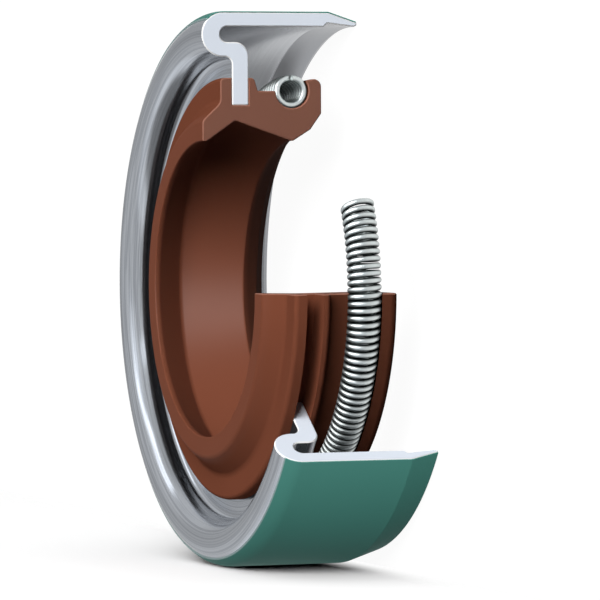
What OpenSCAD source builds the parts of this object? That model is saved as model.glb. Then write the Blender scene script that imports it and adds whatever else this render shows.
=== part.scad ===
// Radial shaft seal with a metal case and a garter spring, cut open to show its section.
// The shaft axis is Z. The case's open rim stands on z = 0 and the closed face looks up.
// Every piece starts on the section plane at +X and runs counter-clockwise seen from above.

/* [Size] */
// Diameter of the shaft that the seal runs on
shaft_d = 30; // [29:0.5:31]
// Diameter of the housing bore that the case is pressed into
housing_d = 55; // [54:0.5:57]
// Width from the open rim to the crest of the heel
seal_w = 16.45; // [15.8:0.05:18]

/* [Cutaway] */
// Angle of the case and its coating that is left, 360 for a whole one
case_arc = 234.5; // [180:0.5:360]
// Angle of the rubber that is left, 360 for a whole one
lip_arc = 270; // [180:1:360]
// Angle of the garter spring that is left
spring_arc = 295; // [200:1:310]

/* [Case] */
// Sheet thickness of the barrel
sheet_t = 1.4; // [1.2:0.05:1.5]
// Outside radius of the folded heel
heel_r = 2.2; // [2.1:0.05:2.4]
// Radius of the round end of the slot inside the fold
slot_r = 0.78; // [0.7:0.02:0.8]
// Thickness of the sheet at the crest of the fold, over the slot
crest_t = 1.91; // [1.75:0.01:2.05]
// Outside radius of the bend from the heel into the flange
bend_r = 1.38; // [1.3:0.02:1.42]
// Thickness of the flange that carries the rubber
flange_t = 1.73; // [1.6:0.01:1.9]
// Radius of the flange's inner edge
flange_edge_r = 18.2; // [17.9:0.1:18.5]
// Fillet between the heel and the flange on the closed side
heel_fillet = 0.75; // [0.3:0.05:0.8]

/* [Nose] */
// Length of the lead-in taper at the open rim
taper_l = 3.03; // [2.4:0.01:3.2]
// How far the taper draws the rim in from the barrel
taper_in = 1; // [0.8:0.05:1.05]
// Depth of the undercut behind the rim
undercut = 0.36; // [0.2:0.02:0.4]
// Height of the undercut's shoulder above the rim
undercut_z = 3.52; // [3.4:0.02:3.8]

/* [Coating] */
// Thickness of the sealing coating on the outside of the case
coat_t = 0.1; // [0.06:0.01:0.15]
// How far the coating runs round the heel, in degrees from the barrel
coat_wrap = 50; // [20:5:80]

/* [Lip] */
// How much smaller in diameter the free lip is than the shaft
interference = 0.7; // [0.4:0.1:1]
// Width of the land at the sealing edge
land_w = 0.22; // [0.15:0.01:0.3]
// Outside radius of the rubber collar that grips the flange
collar_r = 20.9; // [20.5:0.1:21.2]
// Slope of the flank on the closed side of the sealing edge, in degrees
flank_angle = 19; // [17:0.5:21]

/* [Spring] */
// Diameter of the spring wire
wire_d = 0.60; // [0.44:0.02:0.60]
// Outside diameter of the coil
coil_d = 3.34; // [3.2:0.02:3.4]
// Angle round the shaft from one turn of the coil to the next
turn_angle = 1.98; // [1.96:0.01:2.4]

/* [Hidden] */
// Straight pieces in one turn of the coil, and sides of its wire
turn_steps = 8;
wire_sides = 5;
// Pieces of a full turn of the revolved outlines, and of each rounded corner
$fn = 144;
corner_steps = 6;

// Radii of the case, and the flat and the chamfer at its rim
case_r = housing_d / 2 - coat_t;
barrel_r = case_r - sheet_t;
web_r = case_r - 2 * heel_r;
rim_r = case_r - taper_in;
rim_face = 0.25;
rim_chamfer = 0.33;
undercut_r = barrel_r + undercut;
slot_web_r = barrel_r - 2 * slot_r;
bend_centre_r = slot_web_r - bend_r;

// Depths of the case's features below the crest of the heel, and their heights
flange_depth = 4.92;
heel_z = seal_w - heel_r;
slot_z = seal_w - crest_t - slot_r;
flange_z = seal_w - flange_depth;
flange_top = flange_z + flange_t;
bend_z = flange_z + bend_r;

// The coating starts a little above the rim, so that the bare steel stands on the ground
coat_low = 0.06;

// Depths of the rubber's features below the crest of the heel, and their heights
toe_depth = 0.07;
collar_depth = 1.96;
ledge_depth = 5.93;
lip_depth = 9.66;
nose_depth = 12.65;
toe_z = seal_w - toe_depth;
collar_z = seal_w - collar_depth;
ledge_z = seal_w - ledge_depth;
lip_z = seal_w - lip_depth;
nose_z = seal_w - nose_depth;

// Free radius of the sealing edge, and how far the rubber's corners stand out from it
lip_r = (shaft_d - interference) / 2;
skirt_w = 1.12;
skirt_h = 1.83;
nose_w = 2.71;
toe_w = 2.02;
face_w = 3.79;

// Flat on the toe's edge and the slope behind it, in degrees
toe_flat = 0.48;
toe_slope = 34.3;

// Other radii of the rubber and the rises at its lobe and collar
lobe_r = 20.96;
lobe_draw = 0.45;
ledge_r = 19.6;
collar_rise = 0.4;

// Roundings of the rubber's corners
fine_round = 0.1;
nose_round = 0.15;
apex_round = 0.6;
toe_round = 0.7;
lobe_round = 0.78;
face_round = 0.9;
collar_round = 0.45;

// The spring sits in a round groove above the sealing edge and touches its floor
groove_r = 1.74;
groove_centre_r = 19.62;
groove_lift = 0.1;
groove_z = lip_z + groove_lift;
seat_gap = 0.01;
ring_r = groove_centre_r - groove_r + coil_d / 2 + seat_gap;
coil_r = (coil_d - wire_d) / 2;
turns = round(spring_arc / turn_angle);
spring_start = 0.8;

// Points of the arc that rounds corner p, between its neighbours a and b, with radius r
function corner_arc(a, p, b, r) =
    let (
        u = (a - p) / norm(a - p),
        v = (b - p) / norm(b - p),
        half = acos(u * v) / 2,
        centre = p + (u + v) / norm(u + v) * r / sin(half),
        first = p + u * r / tan(half) - centre,
        last = p + v * r / tan(half) - centre,
        start = atan2(first.y, first.x),
        turn = (atan2(last.y, last.x) - start + 540) % 360 - 180
    )
    [
        for (i = [0 : corner_steps])
            let (angle = start + turn * i / corner_steps)
            centre + r * [cos(angle), sin(angle)]
    ];

// Outline through corners given as [radius, height, rounding]
function rounded(k) = [
    for (i = [0 : len(k) - 1])
        let (
            p = [k[i].x, k[i].y],
            a = k[(i + len(k) - 1) % len(k)],
            b = k[(i + 1) % len(k)]
        )
        each (k[i].z > 0 ? corner_arc([a.x, a.y], p, [b.x, b.y], k[i].z) : [p])
];

// Half disc over the line through its centre
module half_disc(r) {
    intersection() {
        circle(r);
        translate([-r, 0]) square([2 * r, r]);
    }
}

// Barrel with its tapered and undercut nose, as a section through one wall
module barrel_section() {
    shoulder = undercut_r - barrel_r;
    polygon([
        [rim_r - rim_face, 0],
        [rim_r, 0],
        [case_r, taper_l],
        [case_r, heel_z],
        [barrel_r, heel_z],
        [barrel_r, undercut_z],
        [undercut_r, undercut_z - shoulder],
        [barrel_r, rim_chamfer]
    ]);
}

// Heel folded back on itself round an open slot
module heel_section() {
    difference() {
        union() {
            translate([case_r - heel_r, heel_z]) half_disc(heel_r);
            translate([web_r, bend_z]) square([case_r - web_r, heel_z - bend_z]);
        }
        translate([barrel_r - slot_r, slot_z]) half_disc(slot_r);
        translate([slot_web_r, 0]) square([2 * slot_r, slot_z]);
    }
}

// Bend out of the heel and the flat flange that reaches into the rubber
module flange_section() {
    intersection() {
        translate([bend_centre_r, bend_z]) circle(bend_r);
        translate([bend_centre_r, flange_z]) square(bend_r);
    }
    translate([flange_edge_r, flange_z]) square([bend_centre_r - flange_edge_r, flange_t]);
    translate([bend_centre_r, bend_z]) square([bend_r, flange_top - bend_z]);
    difference() {
        translate([web_r - heel_fillet, flange_top]) square(heel_fillet);
        translate([web_r - heel_fillet, flange_top + heel_fillet]) circle(heel_fillet);
    }
}

// Radius of the case on the taper at a height
function taper_r(z) = rim_r + taper_in * z / taper_l;

// Thin layer on the taper, the barrel and the outer part of the heel
module coating_section() {
    polygon([
        [taper_r(coat_low), coat_low],
        [taper_r(coat_low) + coat_t, coat_low],
        [case_r + coat_t, taper_l],
        [case_r + coat_t, heel_z],
        [case_r, heel_z],
        [case_r, taper_l]
    ]);
    wedge = 2 * heel_r;
    translate([case_r - heel_r, heel_z]) intersection() {
        difference() {
            circle(heel_r + coat_t);
            circle(heel_r);
        }
        polygon([
            [0, 0],
            [wedge, 0],
            [wedge, wedge],
            wedge * [cos(coat_wrap), sin(coat_wrap)]
        ]);
    }
}

// Rubber body from the sealing edge round to the toe, before the spring groove and the flange slot
module lip_outline() {
    flank_l = toe_z - toe_flat - lip_z - land_w;
    apex_l = flank_l * tan(toe_slope) / (tan(toe_slope) + tan(flank_angle));
    polygon(rounded([
        [lip_r, lip_z + land_w, 0],
        [lip_r, lip_z, 0],
        [lip_r + skirt_w, lip_z - skirt_h, nose_round],
        [lip_r + nose_w, nose_z, nose_round],
        [lobe_r, nose_z, lobe_round],
        [lobe_r - lobe_draw, groove_z - groove_r / 2, 0],
        [ledge_r, groove_z + groove_r / 2, 0],
        [ledge_r, ledge_z, fine_round],
        [collar_r, ledge_z + collar_rise, collar_round],
        [collar_r, collar_z, collar_round],
        [lip_r + face_w, collar_z, face_round],
        [lip_r + toe_w, toe_z, toe_round],
        [lip_r, toe_z, fine_round],
        [lip_r, toe_z - toe_flat, toe_round],
        [lip_r + apex_l * tan(flank_angle), lip_z + land_w + apex_l, apex_round]
    ]));
}

// Point of the coil's centre line at t turns from its start, moved out by o from that line
// and by s along the ring
function coil_point(t, o, s) =
    let (
        ring = spring_start + (spring_arc - spring_start) * t / turns,
        coil = -360 * t,
        r = ring_r + (coil_r + o) * cos(coil)
    )
    [r * cos(ring) - s * sin(ring), r * sin(ring) + s * cos(ring), groove_z + (coil_r + o) * sin(coil)];

// Pressed steel case in one piece
module case() {
    color([0.78, 0.8, 0.83])
    rotate_extrude(angle = case_arc) {
        barrel_section();
        heel_section();
        flange_section();
    }
}

// Green sealing coating on the outside of the case
module bore_coating() {
    color([0.24, 0.45, 0.41])
    rotate_extrude(angle = case_arc) coating_section();
}

// Moulded rubber lip, with the slot that holds the flange and the groove that holds the spring
module sealing_lip() {
    color([0.5, 0.32, 0.26])
    rotate_extrude(angle = lip_arc)
    difference() {
        lip_outline();
        translate([groove_centre_r, groove_z]) circle(groove_r);
        translate([flange_edge_r, flange_z]) square([collar_r, flange_t]);
    }
}

// Garter spring: one wire swept along a coil that is bent into a ring
module garter_spring() {
    stations = turns * turn_steps;
    last = stations * wire_sides;
    points = [
        for (i = [0 : stations], k = [0 : wire_sides - 1])
            let (side = 360 * k / wire_sides)
            coil_point(i / turn_steps, wire_d / 2 * cos(side), wire_d / 2 * sin(side))
    ];
    faces = [
        [for (k = [0 : wire_sides - 1]) k],
        for (i = [0 : stations - 1], k = [0 : wire_sides - 1])
            let (
                a = i * wire_sides + k,
                b = i * wire_sides + (k + 1) % wire_sides
            )
            each [[a, a + wire_sides, b], [b, a + wire_sides, b + wire_sides]],
        [for (k = [wire_sides - 1 : -1 : 0]) last + k]
    ];
    color([0.68, 0.72, 0.71])
    polyhedron(points = points, faces = faces);
}

case();
bore_coating();
sealing_lip();
garter_spring();
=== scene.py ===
# %% [markdown]
# A radial shaft seal keeps the oil in where a shaft leaves a gearbox. This one is cut open, as
# in a catalogue, so that its section shows: a folded steel case with a green coating, a brown
# rubber lip, and a garter spring that presses the lip on the shaft.
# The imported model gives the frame, in metres: the shaft axis is Z, the open rim stands on
# z = 0, and the section plane is the XZ plane at +X.

# %% Load the fixed frame
import math

import bpy
import numpy as np
from mathutils import Matrix, Vector


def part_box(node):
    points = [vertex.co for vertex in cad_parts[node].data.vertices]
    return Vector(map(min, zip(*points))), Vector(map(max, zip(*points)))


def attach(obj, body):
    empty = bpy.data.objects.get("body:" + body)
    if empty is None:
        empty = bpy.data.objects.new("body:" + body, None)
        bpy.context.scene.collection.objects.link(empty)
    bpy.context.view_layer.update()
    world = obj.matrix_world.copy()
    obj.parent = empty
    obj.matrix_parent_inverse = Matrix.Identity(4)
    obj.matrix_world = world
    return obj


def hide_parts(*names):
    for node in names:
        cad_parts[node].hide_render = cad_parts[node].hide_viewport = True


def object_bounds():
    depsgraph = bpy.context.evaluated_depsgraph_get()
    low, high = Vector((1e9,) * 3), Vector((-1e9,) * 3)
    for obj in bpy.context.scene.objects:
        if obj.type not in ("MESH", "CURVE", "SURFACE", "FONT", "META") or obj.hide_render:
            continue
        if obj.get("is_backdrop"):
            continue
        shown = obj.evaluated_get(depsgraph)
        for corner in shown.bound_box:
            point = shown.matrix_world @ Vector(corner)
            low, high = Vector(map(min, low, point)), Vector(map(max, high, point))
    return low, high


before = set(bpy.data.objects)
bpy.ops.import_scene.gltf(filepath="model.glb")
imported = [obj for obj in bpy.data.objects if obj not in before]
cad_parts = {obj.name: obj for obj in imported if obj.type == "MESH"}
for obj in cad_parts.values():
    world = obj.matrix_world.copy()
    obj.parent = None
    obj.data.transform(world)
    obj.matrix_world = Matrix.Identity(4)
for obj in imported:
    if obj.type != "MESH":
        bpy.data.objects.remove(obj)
cad_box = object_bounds()
MM = 0.001


def new_object(name, data):
    """An object with this data, linked to the scene."""
    thing = bpy.data.objects.new(name, data)
    bpy.context.scene.collection.objects.link(thing)
    return thing


print("nodes in the frame:", sorted(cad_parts))

# %% [markdown]
# Every ring of the seal was revolved from one section, so only a few sizes are needed to draw
# it again more finely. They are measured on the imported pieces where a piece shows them: its
# widest radius, its height, and how far round it goes before it is cut away. Reading them
# from the frame keeps the fine pieces where the working model is.

# %% Measure the pieces of the frame
def points_of(node):
    """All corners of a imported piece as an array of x, y, z in millimetres."""
    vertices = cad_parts[node].data.vertices
    flat = np.empty(len(vertices) * 3, np.float32)
    vertices.foreach_get("co", flat)
    return flat.reshape(-1, 3).astype(float) / MM


def cut_angle(node):
    """How far round the axis a piece goes from the section plane, in degrees."""
    x, y, _ = points_of(node).T
    around = np.degrees(np.arctan2(y, x)) % 360
    just_under_360 = around > 359
    return float(around[~just_under_360].max())


def radii_of(node):
    """Distances of a piece's corners from the shaft axis, in millimetres."""
    x, y, _ = points_of(node).T
    return np.hypot(x, y)


case_arc = cut_angle("case")
lip_arc = cut_angle("sealing_lip")
spring_arc = cut_angle("garter_spring")
case_r = float(radii_of("case").max())
lip_r = float(radii_of("sealing_lip").min())
coat_t = float(radii_of("bore_coating").max()) - case_r
seal_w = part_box("case")[1].z / MM
print(f"case radius {case_r:.2f}, lip radius {lip_r:.2f}, width {seal_w:.2f}, coating {coat_t:.2f}")
print(f"left after the cut: case {case_arc:.1f}, lip {lip_arc:.1f}, spring {spring_arc:.1f} degrees")

# %% [markdown]
# The picture looks at the seal lying on its side, from the closed face's side. The seal itself
# stands on its rim here, so the camera is rolled instead: +X is up in the picture and the
# closed face looks left. A long lens from half a metre gives the flat look of a catalogue
# picture. Three small turns and one aim point place it.

# %% Camera at the picture's viewing angle
face_turn = math.radians(20.665)
lift = math.radians(1.791)
roll = math.radians(-0.162)
camera_distance = 537.4 * MM
camera_aim = Vector((-1.219, 0, 6.142)) * MM
lens_mm = 323.48

front = Vector((0, -math.cos(face_turn), math.sin(face_turn)))
picture_right = front.cross(Vector((-1, 0, 0)))
picture_up = Vector((1, 0, 0))
backward = math.cos(lift) * front + math.sin(lift) * picture_up
upright = math.cos(lift) * picture_up - math.sin(lift) * front
camera_x = math.cos(roll) * picture_right + math.sin(roll) * upright
camera_y = math.cos(roll) * upright - math.sin(roll) * picture_right

camera_data = bpy.data.cameras.new("camera")
camera_data.lens = lens_mm
camera_data.sensor_width = 36
camera_data.clip_start = 0.05
camera_data.clip_end = 5
camera = new_object("camera", camera_data)
turned = Matrix((camera_x, camera_y, backward)).transposed().to_4x4()
camera.matrix_world = Matrix.Translation(camera_aim + camera_distance * backward) @ turned
bpy.context.scene.camera = camera
bpy.context.scene.view_settings.view_transform = "Standard"
print("camera at", [round(c / MM, 1) for c in camera.matrix_world.translation], "mm")

# %% [markdown]
# Materials and Geometry Nodes are both trees of nodes. A few small helpers keep the cells that
# build them short. They add a node and set its values, do one sum with numbers or vectors,
# run smoothly from one value to another, make a noise, and start a group of nodes.

# %% Helpers for node trees
def add(tree, kind, inputs=(), **settings):
    """A new node in a tree. Inputs are (name or number, value or output socket) pairs."""
    node = tree.nodes.new(kind)
    for key, value in settings.items():
        setattr(node, key, value)
    for key, value in inputs:
        if isinstance(value, bpy.types.NodeSocket):
            tree.links.new(value, node.inputs[key])
        else:
            node.inputs[key].default_value = value
    return node


def sum_of(tree, operation, *values):
    """The output of one Math node, its inputs in order."""
    return add(tree, "ShaderNodeMath", enumerate(values), operation=operation).outputs[0]


def vector_of(tree, operation, *values):
    """The outputs of one Vector Math node, its inputs in order."""
    return add(tree, "ShaderNodeVectorMath", enumerate(values), operation=operation).outputs


def ramp(tree, value, start, end, low=0.0, high=1.0):
    """Runs smoothly from low to high while the value goes from start to end."""
    node = add(tree, "ShaderNodeMapRange", [(0, value), (1, start), (2, end), (3, low), (4, high)])
    node.interpolation_type = "SMOOTHSTEP"
    return node.outputs[0]


def noise_of(tree, place, scale, detail, roughness):
    """The output of one Noise Texture node."""
    return add(tree, "ShaderNodeTexNoise", [
        ("Vector", place), ("Scale", scale), ("Detail", detail), ("Roughness", roughness),
    ]).outputs[0]


def new_group(name, kind, inputs, outputs):
    """A node group and its input sockets. Inputs and outputs are given as {name: type}."""
    group = bpy.data.node_groups.new(name, kind + "NodeTree")
    for way, sockets in (("INPUT", inputs), ("OUTPUT", outputs)):
        for label, value_type in sockets.items():
            group.interface.new_socket(label, in_out=way, socket_type="NodeSocket" + value_type)
    return group, add(group, "NodeGroupInput").outputs


# %% [markdown]
# Nearly every mark on these parts runs round the shaft axis, because they were pressed,
# turned or moulded as rings. So the first shared group turns a point's place into the terms
# of a lathe: its radius, its height and the angle round the axis.

# %% Shader group: place on the ring
ring_place, entry = new_group(
    "ring_place", "Shader", {"Place": "Vector"},
    {"Radius": "Float", "Height": "Float", "Around": "Float"},
)
g = ring_place
axes = add(g, "ShaderNodeSeparateXYZ", [(0, entry[0])]).outputs
squares = [sum_of(g, "MULTIPLY", axes[i], axes[i]) for i in (0, 1)]
reach = sum_of(g, "SQRT", sum_of(g, "ADD", *squares))
add(g, "NodeGroupOutput", [
    (0, sum_of(g, "DIVIDE", reach, MM)),
    (1, sum_of(g, "DIVIDE", axes[2], MM)),
    (2, sum_of(g, "ARCTAN2", axes[1], axes[0])),
])
print("group ring_place:", len(ring_place.nodes), "nodes")

# %% [markdown]
# The second group draws fine lines along such rings: a noise that changes fast across the
# rings and slowly round them. A wrapped picture of lines would show a seam, and the cosine
# of the angle has none.

# %% Shader group: fine lines round the axis
turned_marks, entry = new_group(
    "turned_marks", "Shader",
    {name: "Float" for name in ("Radius", "Height", "Around", "Lines", "Length")},
    {"Marks": "Float"},
)
g = turned_marks
radius, height, around, lines, length = entry[:5]
lane = add(g, "ShaderNodeCombineXYZ", [
    (0, sum_of(g, "MULTIPLY", radius, lines)),
    (1, sum_of(g, "MULTIPLY", height, lines)),
    (2, sum_of(g, "MULTIPLY", sum_of(g, "COSINE", around), length)),
])
add(g, "NodeGroupOutput", [(0, noise_of(g, lane.outputs[0], 1.0, 3.0, 0.6))])
print("group turned_marks:", len(turned_marks.nodes), "nodes")

# %% [markdown]
# The third is a soft grain for rubber and lacquer: a fine noise for the skin, and a broad one
# for the slow change of colour that every coat and every moulding has.

# %% Shader group: soft grain
soft_grain, entry = new_group(
    "soft_grain", "Shader", {"Place": "Vector", "Grain Size": "Float"},
    {"Grain": "Float", "Cloud": "Float"},
)
g = soft_grain
cloud_share = 0.03
grain_scale = sum_of(g, "DIVIDE", 1 / MM, entry[1])
cloud_scale = sum_of(g, "MULTIPLY", grain_scale, cloud_share)
grain = noise_of(g, entry[0], grain_scale, 2.0, 0.6)
cloud = noise_of(g, entry[0], cloud_scale, 3.0, 0.5)
add(g, "NodeGroupOutput", [(0, grain), (1, cloud)])
print("group soft_grain:", len(soft_grain.nodes), "nodes")

# %% [markdown]
# A material starts as an empty one with its shader and the place of each point. The gloss
# itself is a number on the shader's own socket wherever it is the same all over, and only
# what changes from point to point is fed from other nodes. Noise keeps mostly between 0.3
# and 0.7, so that span is stretched where a noise drives a gloss.

# %% A bare material to finish
noise_span = (0.3, 0.7)


def new_material(name, **shader_values):
    """A material, its tree, its shader, and the output that gives each point's place."""
    material = bpy.data.materials.new(name)
    material.use_nodes = True
    tree = material.node_tree
    shader = tree.nodes["Principled BSDF"]
    for key, value in shader_values.items():
        shader.inputs[key.replace("_", " ")].default_value = value
    return material, tree, shader, add(tree, "ShaderNodeTexCoord").outputs["Object"]


def use_group(tree, group, *values):
    """Outputs of a shared group placed in a material, with its inputs in order."""
    return add(tree, "ShaderNodeGroup", enumerate(values), node_tree=group).outputs


def blend_colours(tree, mask, dark, light):
    """The colour between two others, each an output or its red, green and blue."""
    pairs = [(0, mask)]
    for number, colour in ((6, dark), (7, light)):
        pairs.append((number, (*colour, 1) if isinstance(colour, tuple) else colour))
    return add(tree, "ShaderNodeMix", pairs, data_type="RGBA").outputs[2]


def feed(shader, **sources):
    """Links each output to the shader's input of that name."""
    for key, source in sources.items():
        shader.id_data.links.new(source, shader.inputs[key.replace("_", " ")])


def raise_surface(tree, shader, height, depth):
    """Bump from a height of 0 to 1, with its real depth in millimetres."""
    bump = add(tree, "ShaderNodeBump", [("Distance", depth * MM), ("Height", height)])
    feed(shader, Normal=bump.outputs[0])


# %% [markdown]
# The case is cold-rolled sheet, pressed to shape. The press leaves it bright, with fine lines
# round the axis where the tool dragged over it, and a few deeper draw lines near the outer
# edge of the heel. It could be a plain metal with one roughness, but then the long
# reflections would be too clean, so the lines change both its height and its roughness.
# Inside the barrel the sheet is smoother. Its colour is darkened on the nose and deep in the
# fold: painted shade, for the darker light that the hollow of the barrel mirrors.

# %% Bright pressed steel
dark_line = (0.57, 0.585, 0.61)
bright_line = (0.79, 0.805, 0.83)
smooth_steel = (0.6, 0.62, 0.65)
shaded_steel = (0.36, 0.37, 0.39)
deep_lines = (5.0, 3.0)
fine_lines = (22.0, 5.0)
fine_share = 0.3
line_depth = 0.006
line_contrast = (0.35, 0.65)
steel_gloss = (0.13, 0.24)
inside_band = (case_r - 3.5, case_r - 0.6)
inside_top = 14.9
smoothing = 0.8
nose_top = 3.4
nose_fade = 0.1
nose_shade = 0.85
deep_start = 4.5
deep_end = 9.0
deep_shade = 0.9

pressed_steel, tree, shader, spot = new_material("pressed_steel", Metallic=1.0)
place = use_group(tree, ring_place, spot)
radius, height = place[:2]
marks = use_group(tree, turned_marks, *place, *deep_lines)[0]
fine = use_group(tree, turned_marks, *place, *fine_lines)[0]
inside = sum_of(tree, "MULTIPLY", sum_of(tree, "GREATER_THAN", radius, inside_band[0]),
                sum_of(tree, "LESS_THAN", radius, inside_band[1]))
inside = sum_of(tree, "MULTIPLY", inside, sum_of(tree, "LESS_THAN", height, inside_top))
# Painted shade: inside the barrel the colour is darkened near the rim and deep in the fold.
nose_shade_mask = ramp(tree, height, nose_top - nose_fade, nose_top + nose_fade, nose_shade, 0.0)
deep = ramp(tree, height, deep_start, deep_end, 0.0, deep_shade)
barrel_shade = sum_of(tree, "MULTIPLY", sum_of(tree, "ADD", nose_shade_mask, deep), inside)
tone = blend_colours(tree, ramp(tree, marks, *line_contrast), dark_line, bright_line)
tone = blend_colours(tree, sum_of(tree, "MULTIPLY", inside, smoothing), tone, smooth_steel)
feed(shader, Base_Color=blend_colours(tree, barrel_shade, tone, shaded_steel),
     Roughness=ramp(tree, fine, *noise_span, *steel_gloss))
lines = sum_of(tree, "MULTIPLY_ADD", fine, fine_share, sum_of(tree, "MULTIPLY", marks, 1 - fine_share))
shown = sum_of(tree, "MULTIPLY_ADD", inside, -smoothing, 1.0)
raise_surface(tree, shader, sum_of(tree, "MULTIPLY", lines, shown), line_depth)
print("material:", pressed_steel.name)

# %% [markdown]
# Where the seal was cut open, the steel shows a ground face: pale, even and nearly matt,
# because the fine grinding lines scatter the light. So it is drawn as a pale matt surface and
# not as a metal, which would show the room. Its rim was broken with a file, and that narrow
# edge is painted nearly white, as a painted highlight.

# %% Ground cut face and its edge with a painted highlight
def ground_steel(name, tone, roughness):
    """Satin steel of a cut face, with a faint mottle."""
    material, tree, shader, spot = new_material(name, Roughness=roughness)
    grain, cloud = use_group(tree, soft_grain, spot, 0.12)
    darker = tuple(0.95 * c for c in tone)
    feed(shader, Base_Color=blend_colours(tree, cloud, darker, tone))
    raise_surface(tree, shader, grain, 0.002)
    return material


cut_steel = ground_steel("cut_steel", (0.8, 0.86, 0.95), 0.5)
# A painted highlight: the broken edge is a nearly white copy of the cut face.
edge_steel = ground_steel("edge_steel", (0.99, 1.0, 1.0), 0.3)
print("materials:", cut_steel.name, edge_steel.name)

# %% [markdown]
# The green coating is a thin sprayed lacquer that fills the scratches of the housing bore. It
# is smooth and nearly matt. Over the last half millimetre on the heel it thins out and the
# steel shines through, and its colour turns pale mint there, which is partly a painted
# highlight along the edge. The height and radius of a point give its angle round the heel's
# centre, so the fade follows the edge exactly.

# %% Green lacquer
heel_r = 2.2
coat_wrap = 50.0
fade_start = coat_wrap - 6
fade_end = coat_wrap - 2
deep_green = (0.058, 0.205, 0.172)
light_green = (0.066, 0.228, 0.19)
thin_coat_and_highlight = (0.4, 0.52, 0.51)
shine_through = 0.6

lacquer, tree, shader, spot = new_material("lacquer", Roughness=0.45, Specular_IOR_Level=0.012)
radius, height = use_group(tree, ring_place, spot)[:2]
grain, cloud = use_group(tree, soft_grain, spot, 0.5)
up = sum_of(tree, "SUBTRACT", height, seal_w - heel_r)
out = sum_of(tree, "SUBTRACT", radius, case_r - heel_r)
wrap = sum_of(tree, "ARCTAN2", up, out)
thin = ramp(tree, wrap, math.radians(fade_start), math.radians(fade_end))
green = blend_colours(tree, cloud, deep_green, light_green)
# Partly a painted highlight: the colour turns pale mint where the coat thins over the heel.
feed(shader, Base_Color=blend_colours(tree, thin, green, thin_coat_and_highlight),
     Metallic=sum_of(tree, "MULTIPLY", thin, shine_through))
raise_surface(tree, shader, grain, 0.003)
print("material:", lacquer.name)

# %% [markdown]
# The lip is moulded rubber, brown from iron oxide, with a matt skin. Only the bore carries a
# soft sheen, as a thin coat, because the mould is polished where it shapes the sealing edge.
# The cut face was sliced and is a little lighter, and its narrow broken edge is lighter still,
# as a painted highlight. Towards the open side the skin is painted darker, as painted shade.
# Mirrored rays see the rubber as a dark grey of its own, a painted reflection, so that the
# polished steel shows it nearly black.

# %% Rubber, moulded and cut
neck_band = (17.0, 18.4)
shade_inside = 6.6
shade_outside = 10.6
shade_fade = (-0.2, 0.6)
polished_band = (16.8, 17.6)
shaded_brown = (0.04, 0.014, 0.008)
painted_reflection_tone = (0.075, 0.068, 0.068)


def rubber(name, deep, warm, roughness, grain_size, gloss=0.04, open_shade=0.0, polish=0.0):
    """Brown rubber with a soft mottle and a fine skin."""
    material, tree, shader, spot = new_material(
        name, Roughness=roughness, Specular_IOR_Level=gloss, Coat_Roughness=roughness)
    radius, height = use_group(tree, ring_place, spot)[:2]
    grain, cloud = use_group(tree, soft_grain, spot, grain_size)
    brown = blend_colours(tree, cloud, deep, warm)
    # Painted shade: the skin is darkened towards the open side.
    shade_line = ramp(tree, radius, *neck_band, shade_inside, shade_outside)
    open_side_shade = ramp(tree, sum_of(tree, "SUBTRACT", shade_line, height), *shade_fade, 0.0, open_shade)
    brown = blend_colours(tree, open_side_shade, brown, shaded_brown)
    # Painted reflection: mirrored rays see the rubber as a dark grey.
    mirrored = add(tree, "ShaderNodeLightPath").outputs["Is Glossy Ray"]
    feed(shader, Base_Color=blend_colours(tree, mirrored, brown, painted_reflection_tone))
    if polish:
        feed(shader, Coat_Weight=ramp(tree, radius, *polished_band, polish, 0.0))
    raise_surface(tree, shader, grain, 0.004)
    return material


moulded_rubber = rubber("moulded_rubber", (0.165, 0.052, 0.028), (0.183, 0.058, 0.0315),
                        0.42, 0.25, gloss=0.0, open_shade=0.6, polish=0.11)
cut_rubber = rubber("cut_rubber", (0.205, 0.086, 0.057), (0.224, 0.094, 0.063), 0.6, 0.18)
# The broken edge of the cut is lighter still: a painted highlight.
edge_rubber = rubber("edge_rubber", (0.27, 0.118, 0.08), (0.3, 0.13, 0.09), 0.4, 0.3)
print("materials:", moulded_rubber.name, cut_rubber.name, edge_rubber.name)

# %% [markdown]
# The spring is drawn wire with a faint cool tint. Its colour is painted darker towards each
# next turn, as painted shade in the gaps, which is why each turn looks drawn with a dark edge.
# The tree that winds the coil notes on each point how far it lies towards the next turn, and
# the painted shade follows that note.

# %% Drawn spring wire with painted shade in the gaps
deep_wire = (0.68, 0.73, 0.725)
light_wire = (0.76, 0.81, 0.8)
gap_shade = (0.05, 0.056, 0.056)
gap_shade_start = 0.25
wire_gloss = (0.36, 0.42)

drawn_wire, tree, shader, spot = new_material("drawn_wire", Metallic=1.0)
grain, cloud = use_group(tree, soft_grain, spot, 0.6)
flank = add(tree, "ShaderNodeAttribute", attribute_name="flank").outputs["Fac"]
wire_tone = blend_colours(tree, cloud, deep_wire, light_wire)
# Painted shade: the wire's colour darkens towards the next turn.
feed(shader, Base_Color=blend_colours(tree, ramp(tree, flank, gap_shade_start, 1.0), wire_tone, gap_shade),
     Roughness=ramp(tree, grain, *noise_span, *wire_gloss))
print("material:", drawn_wire.name)

# %% [markdown]
# A section is drawn as a list of corners, each with its radius, its height and a rounding, as
# a draughtsman would give it. One function turns the roundings into arcs. The corners run
# counter-clockwise, so the material is always on the left of the line.

# %% From corners to an outline
arc_step = math.radians(7.5)
same_place = 1e-4


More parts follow.
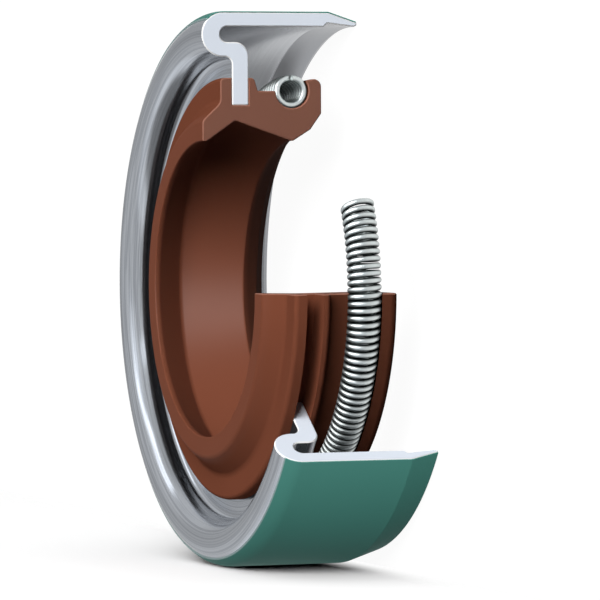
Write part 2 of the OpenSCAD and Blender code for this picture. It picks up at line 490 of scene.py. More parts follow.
def round_corner(before, corner, after, rounding):
    """Points of the arc that rounds a corner between its two neighbours."""
    u = (before - corner).normalized()
    v = (after - corner).normalized()
    half = u.angle(v) / 2
    centre = corner + (u + v).normalized() * rounding / math.sin(half)
    first = corner + u * rounding / math.tan(half) - centre
    sweep = math.pi - 2 * half
    if u.x * v.y - u.y * v.x > 0:
        sweep = -sweep
    steps = max(2, math.ceil(abs(sweep) / arc_step))
    return [centre + Matrix.Rotation(sweep * i / steps, 2) @ first for i in range(steps + 1)]


def outline(corners):
    """Closed outline in millimetres through corners given as (radius, height, rounding)."""
    places = [Vector(c[:2]) for c in corners]
    line = []
    for i, (_, _, rounding) in enumerate(corners):
        bent = [places[i]]
        if rounding:
            bent = round_corner(places[i - 1], places[i], places[(i + 1) % len(places)], rounding)
        if line and (bent[0] - line[-1]).length < same_place:
            bent = bent[1:]
        line += bent
    return line


# %% [markdown]
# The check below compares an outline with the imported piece's own cut face at the section
# plane. It measures how far each corner of that face is from the outline, so a wrong size
# shows at once as a number.

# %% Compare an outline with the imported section
def to_segment(point, a, b):
    """Distance from a point to the line piece from a to b."""
    along = b - a
    share = min(1, max(0, (point - a).dot(along) / along.length_squared))
    return (point - a - share * along).length


def section_error(node, line):
    """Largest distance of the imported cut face's corners from the outline, in millimetres."""
    face = [Vector((x, z)) for x, y, z in points_of(node) if abs(y) < same_place and x > 0]
    pieces = list(zip(line, line[1:] + line[:1]))
    return max(min(to_segment(p, a, b) for a, b in pieces) for p in face)


# %% [markdown]
# The case first. Its sheet goes up the barrel, over the heel, back down beside a narrow slot,
# round a bend and inwards as a flat flange. Drawn as one closed line, it has fourteen
# corners, and the folds are simply their roundings. All heights hang from the crest of the
# heel, which the frame gives.

# %% Section of the case
sheet_t = 1.4
slot_r = 0.78
crest_t = 1.91
bend_r = 1.38
flange_t = 1.73
flange_edge_r = 18.2
heel_fillet = 0.75
flange_depth = 4.92
taper_l = 3.03
taper_in = 1.0
undercut = 0.36
undercut_z = 3.52
rim_face = 0.25
rim_chamfer = 0.33
taper_round = 0.6
press_round = 0.12

barrel_r = case_r - sheet_t
web_r = case_r - 2 * heel_r
slot_web_r = barrel_r - 2 * slot_r
slot_top = seal_w - crest_t
flange_z = seal_w - flange_depth
flange_top = flange_z + flange_t
rim_r = case_r - taper_in

case_line = outline([
    (rim_r - rim_face, 0, 0),
    (rim_r, 0, 0),
    (case_r, taper_l, taper_round),
    (case_r, seal_w, heel_r),
    (web_r, seal_w, heel_r),
    (web_r, flange_top, heel_fillet),
    (flange_edge_r, flange_top, press_round),
    (flange_edge_r, flange_z, press_round),
    (slot_web_r, flange_z, bend_r),
    (slot_web_r, slot_top, slot_r),
    (barrel_r, slot_top, slot_r),
    (barrel_r, undercut_z, press_round),
    (barrel_r + undercut, undercut_z - undercut, press_round),
    (barrel_r, rim_chamfer, press_round),
])
print(f"case: {len(case_line)} points, {section_error('case', case_line):.3f} mm from the frame")

# %% [markdown]
# The coating follows the outside of the case at a constant thickness, so its outline is the
# same path twice: up on the outside and back on the steel. It starts just above the rim,
# where bare steel stands on the ground.

# %% Section of the coating
coat_low = 0.06
coat_r = case_r + coat_t
wrap_steps = 10
end_slope = 1.5


def heel_arc(radius, start, end):
    """Points round the centre of the heel, from one angle to another in degrees."""
    centre = Vector((case_r - heel_r, seal_w - heel_r))
    angles = [math.radians(start + (end - start) * i / wrap_steps) for i in range(wrap_steps + 1)]
    return [centre + radius * Vector((math.cos(a), math.sin(a))) for a in angles]


foot_r = rim_r + taper_in * coat_low / taper_l
taper_arc = outline([
    (foot_r + coat_t, coat_low, 0), (coat_r, taper_l, taper_round), (coat_r, seal_w, 0),
])[1:-1]
coating_line = [
    Vector((foot_r, coat_low)),
    Vector((foot_r + coat_t, coat_low)),
    *taper_arc,
    *heel_arc(heel_r + coat_t, 0, coat_wrap - end_slope),
    *heel_arc(heel_r, coat_wrap, 0),
    Vector((case_r, taper_l)),
]
print(f"coating: {len(coating_line)} points, "
      f"{section_error('bore_coating', coating_line):.3f} mm from the frame")

# %% [markdown]
# The rubber grips the flange with its collar, reaches in to the toe on the closed side, and
# carries the sealing edge below. A round groove behind the edge holds the spring. The groove
# cuts the outline at two places, so it is drawn as an arc between the points where its
# circle meets the lobe and the ledge.

# %% Section of the rubber lip
land_w = 0.22
collar_r = 20.9
flank_slope = math.tan(math.radians(19))
toe_slope = math.tan(math.radians(34.3))
toe_flat = 0.48
toe_z = seal_w - 0.07
collar_z = seal_w - 1.96
ledge_z = seal_w - 5.93
lip_z = seal_w - 9.66
nose_z = seal_w - 12.65
skirt_w = 1.12
skirt_h = 1.83
nose_w = 2.71
toe_w = 2.02
face_w = 3.79
lobe_r = 20.96
lobe_draw = 0.45
ledge_r = 19.6
collar_rise = 0.4
groove_r = 1.74
groove_centre = Vector((19.62, lip_z + 0.1))
lobe_round = 0.78
collar_round = 0.45
face_round = 0.9
toe_round = 0.7
apex_round = 0.6
fine_round = 0.14

lobe_foot = Vector((lobe_r, nose_z))
lobe_head = Vector((lobe_r - lobe_draw, groove_centre.y - groove_r / 2))
lobe_way = (lobe_head - lobe_foot).normalized()
to_centre = groove_centre - lobe_foot
nearest = to_centre.dot(lobe_way)
half_chord = math.sqrt(groove_r ** 2 - (to_centre.length_squared - nearest ** 2))
groove_lip = lobe_foot + lobe_way * (nearest - half_chord)
groove_top = Vector((ledge_r, groove_centre.y + groove_r))

start = (groove_lip - groove_centre).angle_signed(Vector((1, 0)))
end = (groove_top - groove_centre).angle_signed(Vector((1, 0))) - 2 * math.pi
groove_steps = 30
groove_angles = [start + (end - start) * i / groove_steps for i in range(1, groove_steps)]
groove_line = [
    groove_centre + Matrix.Rotation(angle, 2) @ Vector((groove_r, 0)) for angle in groove_angles
]

flank_l = toe_z - toe_flat - lip_z - land_w
apex_l = flank_l * toe_slope / (toe_slope + flank_slope)
lip_line = outline([
    (lip_r, lip_z + land_w, 0),
    (lip_r, lip_z, 0),
    (lip_r + skirt_w, lip_z - skirt_h, fine_round),
    (lip_r + nose_w, nose_z, fine_round),
    (lobe_r, nose_z, lobe_round),
    (*groove_lip, 0),
    *[(*p, 0) for p in groove_line],
    (*groove_top, 0),
    (ledge_r, ledge_z, fine_round),
    (collar_r, ledge_z + collar_rise, collar_round),
    (collar_r, flange_z, 0),
    (flange_edge_r, flange_z, 0),
    (flange_edge_r, flange_top, 0),
    (collar_r, flange_top, 0),
    (collar_r, collar_z, collar_round),
    (lip_r + face_w, collar_z, face_round),
    (lip_r + toe_w, toe_z, toe_round),
    (lip_r, toe_z, fine_round),
    (lip_r, toe_z - toe_flat, toe_round),
    (lip_r + apex_l * flank_slope, lip_z + land_w + apex_l, apex_round),
])
print(f"lip: {len(lip_line)} points, {section_error('sealing_lip', lip_line):.3f} mm from the frame")

# %% [markdown]
# One Geometry Nodes tree makes all three rings, because they follow the same rule: a section
# carried round the axis and closed with a flat face at each cut. Curve to Mesh builds the
# skin and the two end faces. It tilts the first and last sections by half a step, so every
# point is then put exactly on its circle. The last ring on each side is drawn in by a
# hair along the outline's inward direction, which gives the cut a small broken edge.

# %% Geometry Nodes tree: revolved section
guide_r = 20
revolve_tree, entry = new_group("revolved_section", "Geometry", {
    "Geometry": "Geometry", "Angle": "Float", "Steps": "Int", "Edge Width": "Float",
    "Edge Angle": "Float", "Skin": "Material", "Cut Face": "Material", "Cut Edge": "Material",
}, {"Geometry": "Geometry"})
g = revolve_tree
profile = add(g, "GeometryNodeMeshToCurve", [(0, entry["Geometry"])])
stations = add(g, "FunctionNodeIntegerMath", [(0, entry["Steps"]), (1, 1)])
path = add(g, "GeometryNodeCurveArc", [
    ("Resolution", stations.outputs[0]), ("Radius", guide_r * MM),
    ("Start Angle", 0.0), ("Sweep Angle", entry["Angle"]),
])
swept = add(g, "GeometryNodeCurveToMesh", [
    ("Curve", path.outputs[0]), ("Profile Curve", profile.outputs[0]), ("Fill Caps", True),
])

# %% [markdown]
# The points come out section after section. So a point's number, divided by the number of
# points in the section, says which section it is in, and the remainder says which point of
# the outline it was.

# %% Put every point on its circle
count = add(g, "GeometryNodeAttributeDomainSize", [(0, entry["Geometry"])]).outputs["Point Count"]
index = add(g, "GeometryNodeInputIndex").outputs[0]
section, member = (
    add(g, "FunctionNodeIntegerMath", [(0, index), (1, count)], operation=way).outputs[0]
    for way in ("DIVIDE_FLOOR", "MODULO")
)


def drawn_value(value):
    """A vector of the drawn outline, read at the point that each swept point came from."""
    return add(g, "GeometryNodeSampleIndex", [
        ("Geometry", entry["Geometry"]), ("Value", value), ("Index", member),
    ], data_type="FLOAT_VECTOR", domain="POINT").outputs[0]


stored = add(g, "GeometryNodeInputNamedAttribute", [("Name", "inward")], data_type="FLOAT_VECTOR")
drawn = drawn_value(add(g, "GeometryNodeInputPosition").outputs[0])
inward = drawn_value(stored.outputs[0])

first = sum_of(g, "LESS_THAN", section, 0.5)
last_start = sum_of(g, "SUBTRACT", entry["Steps"], 0.5)
last = sum_of(g, "GREATER_THAN", section, last_start)
inner_end = sum_of(g, "SUBTRACT", entry["Angle"], entry["Edge Angle"])
spread = add(g, "ShaderNodeMapRange", [
    (0, section), (1, 1.0), (2, sum_of(g, "SUBTRACT", entry["Steps"], 1.0)),
    (3, entry["Edge Angle"]), (4, inner_end),
])
turn_back = sum_of(g, "MULTIPLY", sum_of(g, "SUBTRACT", last, first), entry["Edge Angle"])
angle = sum_of(g, "ADD", spread.outputs[0], turn_back)

draw_in = sum_of(g, "MULTIPLY", sum_of(g, "ADD", first, last), entry["Edge Width"])
moved = add(g, "ShaderNodeVectorMath", [(0, inward), (3, draw_in)], operation="SCALE")
local = vector_of(g, "ADD", drawn, moved.outputs[0])[0]
on_circle = add(g, "ShaderNodeVectorRotate", [
    ("Vector", local), ("Angle", angle),
], rotation_type="Z_AXIS").outputs[0]
placed = add(g, "GeometryNodeSetPosition", [(0, swept.outputs[0]), ("Position", on_circle)])
outward = add(g, "GeometryNodeFlipFaces", [(0, placed.outputs[0])])

# %% [markdown]
# The two end faces and the narrow strips beside them are cut surfaces, so they take their own
# materials. The section number, averaged over a face, tells them apart: it is 0 on the first
# end face and a half on the strip beside it. Edges that bend by more than 25 degrees stay sharp.

# %% Materials and sharp edges of a ring
sharp_bend = math.radians(25)
on_face = add(g, "GeometryNodeFieldOnDomain", [(0, section)], data_type="FLOAT", domain="POINT")
far = sum_of(g, "SUBTRACT", entry["Steps"], on_face.outputs[0])
from_end = sum_of(g, "MINIMUM", on_face.outputs[0], far)
is_cap = sum_of(g, "LESS_THAN", from_end, 0.25)
is_strip = sum_of(g, "LESS_THAN", from_end, 0.75)

shaded = add(g, "GeometryNodeSetShadeSmooth", [(0, outward.outputs[0])], domain="FACE")
bend = add(g, "GeometryNodeInputMeshEdgeAngle").outputs[0]
sharp = sum_of(g, "GREATER_THAN", bend, sharp_bend)
creased = add(g, "GeometryNodeSetShadeSmooth", [
    (0, shaded.outputs[0]), ("Selection", sharp), ("Shade Smooth", False),
], domain="EDGE")
whole = add(g, "GeometryNodeRealizeInstances", [(0, creased.outputs[0])])
surface = whole.outputs[0]
for chosen, part in ((True, "Skin"), (is_strip, "Cut Edge"), (is_cap, "Cut Face")):
    surface = add(g, "GeometryNodeSetMaterial", [
        (0, surface), ("Selection", chosen), ("Material", entry[part]),
    ]).outputs[0]
add(g, "NodeGroupOutput", [(0, surface)])
print("tree revolved_section:", len(g.nodes), "nodes")

# %% [markdown]
# A tree's inputs belong to the modifier that uses it, where each has an identifier of its own.
# The helper sets them by name through that identifier, before anything is evaluated. Then
# the evaluated result becomes a plain mesh, with weighted normals so that the flats stay
# flat beside the rounded corners, and the drawing object is thrown away.

# %% Run a tree and keep its mesh
def run_tree(name, tree, start_mesh, **inputs):
    """The evaluated result of a Geometry Nodes tree as a plain object."""
    source = new_object(name + "_drawing", start_mesh)
    modifier = source.modifiers.new("build", "NODES")
    modifier.node_group = tree
    for item in tree.interface.items_tree:
        key = item.name.replace(" ", "_").lower()
        if item.in_out == "INPUT" and key in inputs:
            modifier[item.identifier] = inputs[key]
    normals = source.modifiers.new("normals", "WEIGHTED_NORMAL")
    normals.keep_sharp = True
    graph = bpy.context.evaluated_depsgraph_get()
    mesh = bpy.data.meshes.new_from_object(source.evaluated_get(graph), depsgraph=graph)
    bpy.data.objects.remove(source)
    mesh.name = name
    return new_object(name, mesh)


def volume_of(mesh):
    """Volume inside a closed mesh in cubic millimetres, negative if its faces point inwards."""
    mesh.calc_loop_triangles()
    points = [vertex.co / MM for vertex in mesh.vertices]
    corners = ([points[i] for i in triangle.vertices] for triangle in mesh.loop_triangles)
    return sum(a.dot(b.cross(c)) / 6 for a, b, c in corners)


def describe(piece):
    """Prints a piece's size, and stops if its faces point inwards."""
    volume = volume_of(piece.data)
    triangles = len(piece.data.loop_triangles)
    print(f"{piece.name}: {triangles} triangles, {volume:.1f} cubic mm")
    print("  materials:", [m.name for m in piece.data.materials])
    print("  box in mm:", [round(c / MM, 2) for c in piece.dimensions])
    assert volume > 0, piece.name + " is inside out"


# %% [markdown]
# The inward direction of the broken edge is worked out once on the drawn outline. At each
# corner it is the sum of the two neighbouring line normals, stretched so that both lines
# move in by the same amount, as in any offset of a drawing.

# %% Drawing a section as a mesh
step_angle = 1.25


def inward_directions(line):
    """For each point, the move that shifts both its lines inwards by one unit."""
    moves = []
    for i, point in enumerate(line):
        arrive = (point - line[i - 1]).normalized()
        leave = (line[(i + 1) % len(line)] - point).normalized()
        normals = Vector((-arrive.y, arrive.x)), Vector((-leave.y, leave.x))
        moves.append((normals[0] + normals[1]) / (1 + normals[0].dot(normals[1])))
    return moves


def draw_section(name, line):
    """A wire mesh of the outline in the section plane, with its inward directions."""
    mesh = bpy.data.meshes.new(name)
    count = len(line)
    mesh.from_pydata(
        [(p.x * MM, 0, p.y * MM) for p in line],
        [(i, (i + 1) % count) for i in range(count)],
        [],
    )
    stored = mesh.attributes.new("inward", "FLOAT_VECTOR", "POINT")
    for i, move in enumerate(inward_directions(line)):
        stored.data[i].vector = (move.x, 0, move.y)
    return mesh


def revolve(name, line, arc, edge_width, skin, cut_face, cut_edge):
    """A ring piece made by carrying its section round the axis."""
    middle_r = sum(p.x for p in line) / len(line)
    piece = run_tree(
        name, revolve_tree, draw_section(name, line),
        angle=math.radians(arc), steps=round(arc / step_angle), edge_width=edge_width * MM,
        edge_angle=edge_width / middle_r, skin=skin, cut_face=cut_face, cut_edge=cut_edge,
    )
    describe(piece)
    return piece


# %% [markdown]
# The three rings now come from their sections. A cut through steel or rubber gets a broken
# edge of about a tenth of a millimetre, and the thin coating a much finer one.

# %% Make the three rings
broken_edge = 0.11
coating_edge = 0.02
case = revolve("folded_case", case_line, case_arc, broken_edge, pressed_steel, cut_steel, edge_steel)
coating = revolve("green_coating", coating_line, case_arc, coating_edge, lacquer, lacquer, lacquer)
lip = revolve("rubber_lip", lip_line, lip_arc, broken_edge, moulded_rubber, cut_rubber, edge_rubber)

# %% [markdown]
# The garter spring is one wire, wound to a long coil and bent into a ring. That is a rule
# with two angles: the coil angle turns fast, and the ring angle grows slowly with it. A
# line of points is put on that rule and a circle is swept along it. The turns could be
# rings of their own, as a draughtsman would draw them, but a real spring is one helix.

# %% Geometry Nodes tree: coil bent into a ring
measures = ("Wire Radius", "Coil Radius", "Ring Radius", "Height", "Start", "End")
coil_tree, entry = new_group("garter_coil", "Geometry", {
    "Geometry": "Geometry", "Turns": "Float", "Steps A Turn": "Int", "Sides": "Int",
    **{name: "Float" for name in measures}, "Wire": "Material",
}, {"Geometry": "Geometry"})
g = coil_tree
stations = sum_of(g, "MULTIPLY_ADD", entry["Turns"], entry["Steps A Turn"], 1.0)
line = add(g, "GeometryNodeMeshLine", [("Count", stations)])
path = add(g, "GeometryNodeMeshToCurve", [(0, line.outputs[0])])
turn = sum_of(g, "DIVIDE", add(g, "GeometryNodeInputIndex").outputs[0], entry["Steps A Turn"])
coil_angle = sum_of(g, "MULTIPLY", turn, -2 * math.pi)
share = sum_of(g, "DIVIDE", turn, entry["Turns"])
ring_angle = add(g, "ShaderNodeMapRange", [
    (0, share), (1, 0.0), (2, 1.0), (3, entry["Start"]), (4, entry["End"]),
]).outputs[0]
coil_r = entry["Coil Radius"]
reach = sum_of(g, "MULTIPLY_ADD", sum_of(g, "COSINE", coil_angle), coil_r, entry["Ring Radius"])
rise = sum_of(g, "MULTIPLY_ADD", sum_of(g, "SINE", coil_angle), coil_r, entry["Height"])
local = add(g, "ShaderNodeCombineXYZ", [(0, reach), (2, rise)])
centre = add(g, "ShaderNodeVectorRotate", [
    ("Vector", local.outputs[0]), ("Angle", ring_angle),
], rotation_type="Z_AXIS").outputs[0]
wound = add(g, "GeometryNodeSetPosition", [(0, path.outputs[0]), ("Position", centre)])
wire = add(g, "GeometryNodeCurvePrimitiveCircle", [
    ("Resolution", entry["Sides"]), ("Radius", entry["Wire Radius"]),
])
noted = add(g, "GeometryNodeCaptureAttribute", [(0, wound.outputs[0])])
for name, kind, value in (
    ("Centre", "VECTOR", centre), ("Turned", "FLOAT", ring_angle), ("Turn", "FLOAT", turn),
):
    noted.capture_items.new(kind, name)
    g.links.new(value, noted.inputs[name])
swept = add(g, "GeometryNodeCurveToMesh", [
    ("Curve", noted.outputs[0]), ("Profile Curve", wire.outputs[0]), ("Fill Caps", True),
])
place = add(g, "GeometryNodeInputPosition").outputs[0]
offset = vector_of(g, "SUBTRACT", place, noted.outputs["Centre"])[0]
ahead = add(g, "ShaderNodeCombineXYZ", [
    (0, sum_of(g, "MULTIPLY", sum_of(g, "SINE", noted.outputs["Turned"]), -1.0)),
    (1, sum_of(g, "COSINE", noted.outputs["Turned"])),
]).outputs[0]
sideways = vector_of(g, "DOT_PRODUCT", offset, ahead)["Value"]
last_turn = sum_of(g, "SUBTRACT", entry["Turns"], 1.0)
open_start = sum_of(g, "MULTIPLY", sum_of(g, "LESS_THAN", noted.outputs["Turn"], 1.0),
                    sum_of(g, "LESS_THAN", sideways, 0.0))
open_end = sum_of(g, "MULTIPLY", sum_of(g, "GREATER_THAN", noted.outputs["Turn"], last_turn),
                  sum_of(g, "GREATER_THAN", sideways, 0.0))
closed = sum_of(g, "SUBTRACT", 1.0, sum_of(g, "MAXIMUM", open_start, open_end))
towards_next = sum_of(g, "DIVIDE", sum_of(g, "ABSOLUTE", sideways), entry["Wire Radius"])
flank = sum_of(g, "MULTIPLY", towards_next, closed)
marked = add(g, "GeometryNodeStoreNamedAttribute", [
    (0, swept.outputs[0]), ("Name", "flank"), ("Value", flank),
], data_type="FLOAT", domain="POINT")
smooth = add(g, "GeometryNodeSetShadeSmooth", [(0, marked.outputs[0])], domain="FACE")
whole = add(g, "GeometryNodeRealizeInstances", [(0, smooth.outputs[0])])
painted = add(g, "GeometryNodeSetMaterial", [(0, whole.outputs[0]), ("Material", entry["Wire"])])
add(g, "NodeGroupOutput", [(0, painted.outputs[0])])
print("tree garter_coil:", len(g.nodes), "nodes")

# %% [markdown]
# The spring rests on the floor of its groove, so its ring radius follows from the groove and
# the coil's own size. Its turns lie 1.98 degrees apart, which leaves a thin dark gap
# between them on the outside of the ring. It goes half a turn further than a whole number
# of turns, so that the wire ends on the inner side and the free end shows a whole turn.

# %% Wind the spring
wire_d = 0.6
coil_d = 3.34
turn_angle = 1.98
spring_start = 0.8
seat_gap = 0.01
steps_a_turn = 30
wire_sides = 12
ring_r = groove_centre.x - groove_r + coil_d / 2 + seat_gap
whole_turns = math.floor(spring_arc / turn_angle)
pitch = (whole_turns * turn_angle - spring_start) / whole_turns
turns = whole_turns + 0.5
spring_end = spring_start + turns * pitch
spring = run_tree(
    "coil_spring", coil_tree, bpy.data.meshes.new("coil_spring"),
    turns=turns, steps_a_turn=steps_a_turn, sides=wire_sides,
    wire_radius=wire_d / 2 * MM, coil_radius=(coil_d - wire_d) / 2 * MM,
    ring_radius=ring_r * MM, height=groove_centre.y * MM,
    start=math.radians(spring_start), end=math.radians(spring_end), wire=drawn_wire,
)
describe(spring)

# %% [markdown]
# The ground is a plain pale floor under the rim. Towards the camera it glows almost white, so
# that the background is clean, and a little real shading keeps the shadow. Metal sees it
# too, with less of the glow, and most of it in a ring under the rim. In the picture the seal
# lies on its side, so a second pale sheet stands close beside it, where the picture's ground
# is, to hold the soft shadow. The sheet is plain paint that a lamp of its own makes white,
# it is clear from behind, and it fades to white where it meets the floor.

# %% Pale paint for the stage
white = (1, 1, 1, 1)
ring_inner = (21 * MM, 24.5 * MM)
ring_outer = (26 * MM, 30 * MM)
ring_glow = 0.5
metal_glow = 0.22
dimming = 0.9


def stage_paint(name, paint, glow):
    """Pale paint that glows: a share of it for the camera, and a ring of it for metal."""
    material = bpy.data.materials.new(name)
    material.use_nodes = True
    tree = material.node_tree
    tree.nodes.clear()
    rays = add(tree, "ShaderNodeLightPath").outputs
    mirrored = sum_of(tree, "MAXIMUM", rays["Is Glossy Ray"], rays["Is Transmission Ray"])
    spot = add(tree, "ShaderNodeTexCoord").outputs["Object"]
    reach = vector_of(tree, "LENGTH", vector_of(tree, "MULTIPLY", spot, (1, 1, 0))[0])["Value"]
    ring = sum_of(tree, "MULTIPLY", ramp(tree, reach, *ring_inner), ramp(tree, reach, *ring_outer, 1, 0))
    metal_share = sum_of(tree, "MULTIPLY_ADD", ring, ring_glow, metal_glow)
    metal_share = sum_of(tree, "MULTIPLY", mirrored, metal_share)
    share = sum_of(tree, "MULTIPLY_ADD", rays["Is Camera Ray"], glow, metal_share)
    left = sum_of(tree, "MULTIPLY_ADD", share, -dimming * paint, paint)
    matt = add(tree, "ShaderNodeBsdfDiffuse", [(0, left)])
    light = add(tree, "ShaderNodeEmission", [(0, share), (1, 1.0)])
    both = add(tree, "ShaderNodeAddShader", [(0, matt.outputs[0]), (1, light.outputs[0])])
    return material, tree, both.outputs[0]


def flat_sheet(name, corner, first_side, second_side, material):
    """A flat sheet that belongs to the stage, given by a corner and its two sides."""
    corner, first_side, second_side = (Vector(c) * MM for c in (corner, first_side, second_side))
    points = [corner, corner + first_side, corner + first_side + second_side, corner + second_side]
    mesh = bpy.data.meshes.new(name)
    mesh.from_pydata(points, [], [(0, 1, 2, 3)])
    mesh.materials.append(material)
    sheet = new_object(name, mesh)
    sheet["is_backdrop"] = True
    return sheet


# %% Floor and side sheet
pale_paint = 0.8
floor_glow = 0.95
floor_half = 700
floor_paint, tree, shading = stage_paint("floor_paint", pale_paint, floor_glow)
add(tree, "ShaderNodeOutputMaterial", [(0, shading)])
floor = flat_sheet("floor", (-floor_half, -floor_half, 0), (2 * floor_half, 0, 0),
                   (0, 2 * floor_half, 0), floor_paint)
floor.visible_diffuse = False

sheet_high = 260
sheet_long = 260
sheet_low = 0.01
sheet_fade = 5
sheet_gap = 0.02
sheet_x = -(case_r + coat_t + sheet_gap)
sheet_paint, tree, shading = stage_paint("sheet_paint", pale_paint, 0.0)
spot = add(tree, "ShaderNodeTexCoord").outputs["Object"]
height = add(tree, "ShaderNodeSeparateXYZ", [(0, spot)]).outputs[2]
near_floor = ramp(tree, height, 0.0, sheet_fade * MM, 1.0, 0.0)
plain = add(tree, "ShaderNodeEmission", [(0, white), (1, 1.0)])
faded = add(tree, "ShaderNodeMixShader", [(0, near_floor), (1, shading), (2, plain.outputs[0])])
behind = add(tree, "ShaderNodeNewGeometry").outputs["Backfacing"]
clear = add(tree, "ShaderNodeBsdfTransparent")
one_sided = add(tree, "ShaderNodeMixShader", [(0, behind), (1, faded.outputs[0]), (2, clear.outputs[0])])
add(tree, "ShaderNodeOutputMaterial", [(0, one_sided.outputs[0])])
side_sheet = flat_sheet("side_sheet", (sheet_x, -sheet_long, sheet_low), (0, 2 * sheet_long, 0),
                        (0, 0, sheet_high), sheet_paint)
for ray in ("diffuse", "glossy", "transmission", "volume_scatter"):
    setattr(side_sheet, "visible_" + ray, False)
print("floor and side sheet, the sheet at x =", round(sheet_x, 2))

# %% [markdown]
# One large softbox gives nearly all the light: to the left of the camera and above it as the
# picture is seen, so that the far side of the bore is bright and its upper part lies in the
# shade of the cut. The places of lamps are given as a photographer would: degrees to the
# right of the camera and degrees up, as the picture is seen. Smaller lamps light one piece
# each, which a photographer does with cards and flags, and Blender with light linking.

# %% Directions as seen in the picture
lamp_distance = 1.2


def towards(right_deg, up_deg):
    """Unit vector that points right of the camera and up in the picture by these degrees."""
    right, up = math.radians(right_deg), math.radians(up_deg)
    level = math.sin(right) * camera_x + math.cos(right) * backward
    return math.cos(up) * level + math.sin(up) * camera_y


def softbox(name, right_deg, up_deg, wide_deg, high_deg, level, only=(), spared=(), shaded_by=()):
    """A soft lamp aimed at the seal. At level 1 a white sheet that faces it renders white."""
    lamp = bpy.data.lights.new(name, "AREA")
    lamp.shape = "RECTANGLE"
    lamp.size = 2 * lamp_distance * math.tan(math.radians(wide_deg / 2))
    lamp.size_y = 2 * lamp_distance * math.tan(math.radians(high_deg / 2))
    lamp.energy = level * (math.pi * lamp_distance) ** 2
    stand = new_object(name, lamp)
    away = towards(right_deg, up_deg)
    side = camera_y.cross(away).normalized()
    turned = Matrix((side, away.cross(side), away)).transposed().to_4x4()
    stand.matrix_world = Matrix.Translation(away * lamp_distance) @ turned
    stand.visible_glossy = False
    for part, things, state in (
        ("receiver", only, "INCLUDE"), ("receiver", spared, "EXCLUDE"), ("blocker", shaded_by, "INCLUDE"),
    ):
        if things:
            group = bpy.data.collections.new(f"{name}_{part}")
            for thing in things:
                group.objects.link(thing)
            for member in group.collection_objects:
                member.light_linking.link_state = state
            setattr(stand.light_linking, part + "_collection", group)
    return stand


# %% [markdown]
# Rubber and wire each have a lamp that only their shine sees. The coating is lit from the
# front and from above instead of by the key, so that it keeps one even green, and its own
# green stays off the ground. The sheet has its overhead lamp, and two weak lamps behind and
# below give the far sides their form.

# %% Place the lamps
key = softbox("key_softbox", -26, 25, 44, 34, 1.48, spared=[coating])
rubber_sheen = softbox("rubber_sheen", -4, 14, 34, 34, 3.0, only=[lip], shaded_by=[lip])
wire_shine = softbox("wire_shine", -54, 20, 70, 50, 1.4, only=[spring], shaded_by=[spring])
for shine in (rubber_sheen, wire_shine):
    shine.visible_diffuse = False
    shine.visible_glossy = True
softbox("coating_front", -2, 12, 40, 24, 1.5, only=[coating])
softbox("coating_top", 10, 72, 60, 60, 0.9, only=[coating])
coating.visible_diffuse = False
softbox("sheet_overhead", 0, 88, 110, 110, 3.1, only=[side_sheet])
seal_pieces = [case, coating, lip, spring]
softbox("back_fill", -154, -8, 40, 40, 0.6, only=seal_pieces, shaded_by=seal_pieces)
softbox("under_fill", -165, -52, 40, 40, 0.25, only=seal_pieces, shaded_by=seal_pieces)
print("key softbox at", [round(c, 2) for c in key.location])

# %% [markdown]
# Polished steel shows the room rather than itself, so the world is drawn as a small studio:
# grey walls, a bent white panel to the left, its soft glow, a small window near the camera,
# a pale band low down and a darker corner far back on the left, which the bottom of the heel
# mirrors. Only mirrored rays see it. The camera sees white behind the floor, and a little
# even light fills the shadows.

# %% Studio world
world = bpy.data.worlds.new("studio")
world.use_nodes = True
bpy.context.scene.world = world
tree = world.node_tree
tree.nodes.clear()
look = add(tree, "ShaderNodeTexCoord").outputs["Generated"]


def along(axis):
    """How far the looked-at direction goes along an axis of the picture."""
    return vector_of(tree, "DOT_PRODUCT", look, tuple(axis))["Value"]


right = sum_of(tree, "DEGREES", sum_of(tree, "ARCTAN2", along(camera_x), along(backward)))
up = sum_of(tree, "DEGREES", sum_of(tree, "ARCSINE", along(camera_y)))


def panel(label, centre_right, centre_up, half_width, half_height, softness, strength):
    """Light of one panel, placed in degrees right of the camera and up."""
    light = strength
    for place, centre, half in ((right, centre_right, half_width), (up, centre_up, half_height)):
        off = sum_of(tree, "ABSOLUTE", sum_of(tree, "SUBTRACT", place, centre))
        light = sum_of(tree, "MULTIPLY", light, ramp(tree, off, half - softness, half + softness, 1.0, 0.0))
    light.node.label = label
    return light


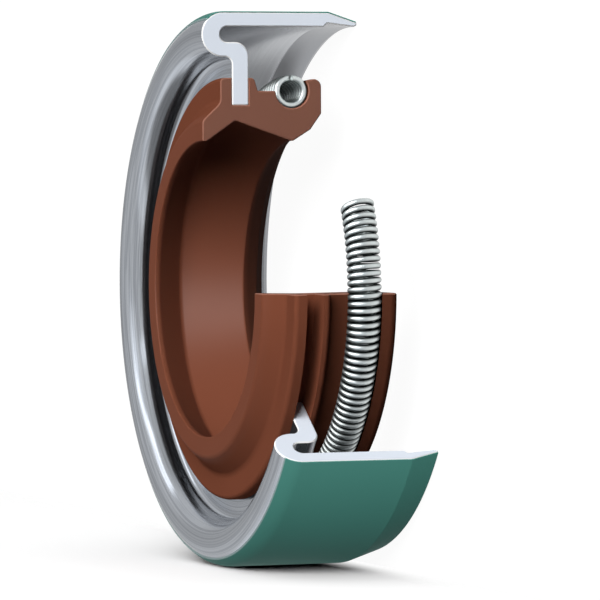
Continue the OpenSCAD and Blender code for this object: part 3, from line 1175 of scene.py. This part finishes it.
walls = ramp(tree, up, -56, -46, 0.22, 0.5)
ceiling = ramp(tree, up, 50, 75, 0.0, -0.1)
studio = sum_of(tree, "ADD", walls, ceiling)
for row in (
    ("white panel", -88, 47, 27, 7, 3, 1.1),
    ("its bend", -70, 30, 9, 12, 5, 0.95),
    ("its soft glow", -57, 20, 14, 12, 14, 0.6),
    ("window near the camera", -9, 28, 15, 6, 1.5, 0.5),
    ("pale band", -80, -39, 95, 8, 3, 0.2),
    ("dark corner", -150, 6, 24, 14, 8, -0.12),
):
    studio = sum_of(tree, "ADD", studio, panel(*row))
dim_tint = (0.96, 0.99, 1.03)
bright_tint = (0.93, 0.98, 1.05)
tint = blend_colours(tree, ramp(tree, studio, 0.4, 0.9), dim_tint, bright_tint)
rays = add(tree, "ShaderNodeLightPath").outputs
mirrored = sum_of(tree, "MAXIMUM", rays["Is Glossy Ray"], rays["Is Transmission Ray"])
fill_level = 0.035
seen = sum_of(tree, "MULTIPLY_ADD", mirrored, sum_of(tree, "SUBTRACT", studio, fill_level), fill_level)
room = add(tree, "ShaderNodeBackground", [(0, tint), (1, seen)])
backdrop = add(tree, "ShaderNodeBackground", [(0, white), (1, 1.0)])
both = add(tree, "ShaderNodeMixShader", [
    (0, rays["Is Camera Ray"]), (1, room.outputs[0]), (2, backdrop.outputs[0]),
])
add(tree, "ShaderNodeOutputWorld", [(0, both.outputs[0])])
print("studio world:", len(tree.nodes), "nodes")

# %% [markdown]
# Each fine piece stands for its imported node and rides on the one fixed body. The table
# also lists the record's finish slot of each piece. The last lines print the two boxes, of
# the dressed part and of the working model.

# %% Hand the pieces to the frame
for piece, node, finish in (
    (case, "case", "case_steel"),
    (coating, "bore_coating", "bore_coating"),
    (lip, "sealing_lip", "lip_rubber"),
    (spring, "garter_spring", "spring_steel"),
):
    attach(piece, "root")
    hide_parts(node)

dressed_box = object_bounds()
boxes = {"cad": [list(c) for c in cad_box], "visual": [list(c) for c in dressed_box]}
for name, (low, high) in boxes.items():
    print(name, [round(c / MM, 3) for c in low], [round(c / MM, 3) for c in high])
